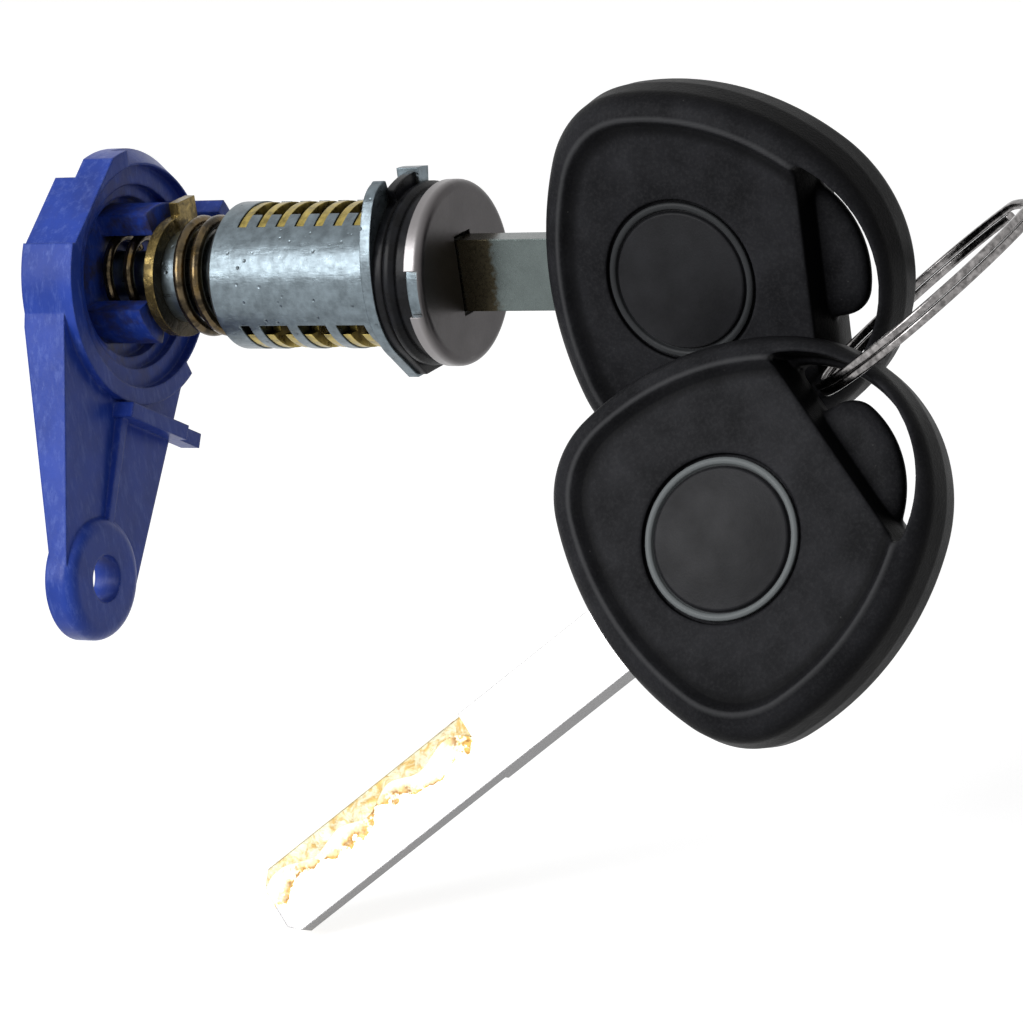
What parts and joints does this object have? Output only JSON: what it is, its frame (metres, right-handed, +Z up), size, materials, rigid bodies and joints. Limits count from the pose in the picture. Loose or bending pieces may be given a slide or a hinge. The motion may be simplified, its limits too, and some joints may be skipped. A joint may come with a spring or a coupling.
{
  "type": "car door lock cylinder",
  "caption": "Car door lock cylinder with a blue rod lever, brass wafers and sprung cap, a key in its keyway and a spare key on a split ring.",
  "frame": {"origin": "on the barrel's axis at the rear face of its flange, where the cylinder seats in the door handle", "axes": "+X along the barrel towards the key, +Z up with the keyway upright, +Y to the side away from the viewer of the picture"},
  "size_m": [0.1074, 0.0506, 0.0722],
  "materials": {
    "zinc": "die cast zinc",
    "seal": "glossy",
    "cap_steel": "satin",
    "spring_steel": "oiled",
    "plate_steel": "yellow passivated, oiled",
    "blue_plastic": "moulded",
    "ring_steel": "polished",
    "wafer_brass": "stamped",
    "key_brass": "nickel plated",
    "key_plastic": "grained",
    "badge_plastic": "satin",
    "transponder_glass": "clear"
  },
  "bodies": {
    "lock": {"barrel": "zinc", "gasket": "seal", "head_ring": "zinc", "cap": "cap_steel", "torsion_spring": "spring_steel", "drive_plate": "plate_steel", "thrust_spring": "spring_steel", "retaining_clip": "spring_steel", "wafer_springs": "spring_steel"},
    "lever": {"lever": "blue_plastic"},
    "key": {"key_blade": "key_brass", "key_head": "key_plastic", "key_badge_front": "badge_plastic", "key_badge_back": "badge_plastic", "key_transponder": "transponder_glass"},
    "ring": {"split_ring": "ring_steel"},
    "spare_key": {"spare_blade": "key_brass", "spare_head": "key_plastic", "spare_badge_front": "badge_plastic", "spare_badge_back": "badge_plastic", "spare_transponder": "transponder_glass"},
    "wafer_1": {"wafer_1": "wafer_brass"},
    "wafer_2": {"wafer_2": "wafer_brass"},
    "wafer_3": {"wafer_3": "wafer_brass"},
    "wafer_4": {"wafer_4": "wafer_brass"},
    "wafer_5": {"wafer_5": "wafer_brass"},
    "wafer_6": {"wafer_6": "wafer_brass"},
    "wafer_7": {"wafer_7": "wafer_brass"}
  },
  "joints": [
    {"name": "key_slide", "type": "slide", "parent": "lock", "child": "key", "axis": [1, 0, 0], "range_m": [0, 0.036]},
    {"name": "lever_turn", "type": "hinge", "parent": "lock", "child": "lever", "pos_m": [0, 0, 0], "axis": [1, 0, 0], "range_deg": [-25, 25], "stiffness_Nm_per_rad": 0.02},
    {"name": "ring_turn", "type": "hinge", "parent": "key", "child": "ring", "pos_m": [0.05694, -0.0038, -0.00134], "axis": [-0.5449, -0.1677, 0.8216], "range_deg": [-3, 6]},
    {"name": "spare_swing", "type": "hinge", "parent": "ring", "child": "spare_key", "pos_m": [0.05694, -0.0038, -0.00134], "axis": [-0.5449, -0.1677, 0.8216], "range_deg": [-3, 20]},
    {"name": "wafer_1_slide", "type": "slide", "parent": "lock", "child": "wafer_1", "axis": [0, 0, 1], "range_m": [0, 0.00092]},
    {"name": "wafer_2_slide", "type": "slide", "parent": "lock", "child": "wafer_2", "axis": [0, 0, 1], "range_m": [-0.00092, 0]},
    {"name": "wafer_3_slide", "type": "slide", "parent": "lock", "child": "wafer_3", "axis": [0, 0, 1], "range_m": [0, 0.00092]},
    {"name": "wafer_4_slide", "type": "slide", "parent": "lock", "child": "wafer_4", "axis": [0, 0, 1], "range_m": [-0.00092, 0]},
    {"name": "wafer_5_slide", "type": "slide", "parent": "lock", "child": "wafer_5", "axis": [0, 0, 1], "range_m": [0, 0.00092]},
    {"name": "wafer_6_slide", "type": "slide", "parent": "lock", "child": "wafer_6", "axis": [0, 0, 1], "range_m": [-0.00092, 0]},
    {"name": "wafer_7_slide", "type": "slide", "parent": "lock", "child": "wafer_7", "axis": [0, 0, 1], "range_m": [0, 0.00092]}
  ],
  "couplings": [
    {"joint": "wafer_1_slide", "follows": "key_slide", "ratio": 0.025},
    {"joint": "wafer_2_slide", "follows": "key_slide", "ratio": -0.025},
    {"joint": "wafer_3_slide", "follows": "key_slide", "ratio": 0.025},
    {"joint": "wafer_4_slide", "follows": "key_slide", "ratio": -0.025},
    {"joint": "wafer_5_slide", "follows": "key_slide", "ratio": 0.025},
    {"joint": "wafer_6_slide", "follows": "key_slide", "ratio": -0.025},
    {"joint": "wafer_7_slide", "follows": "key_slide", "ratio": 0.025}
  ]
}
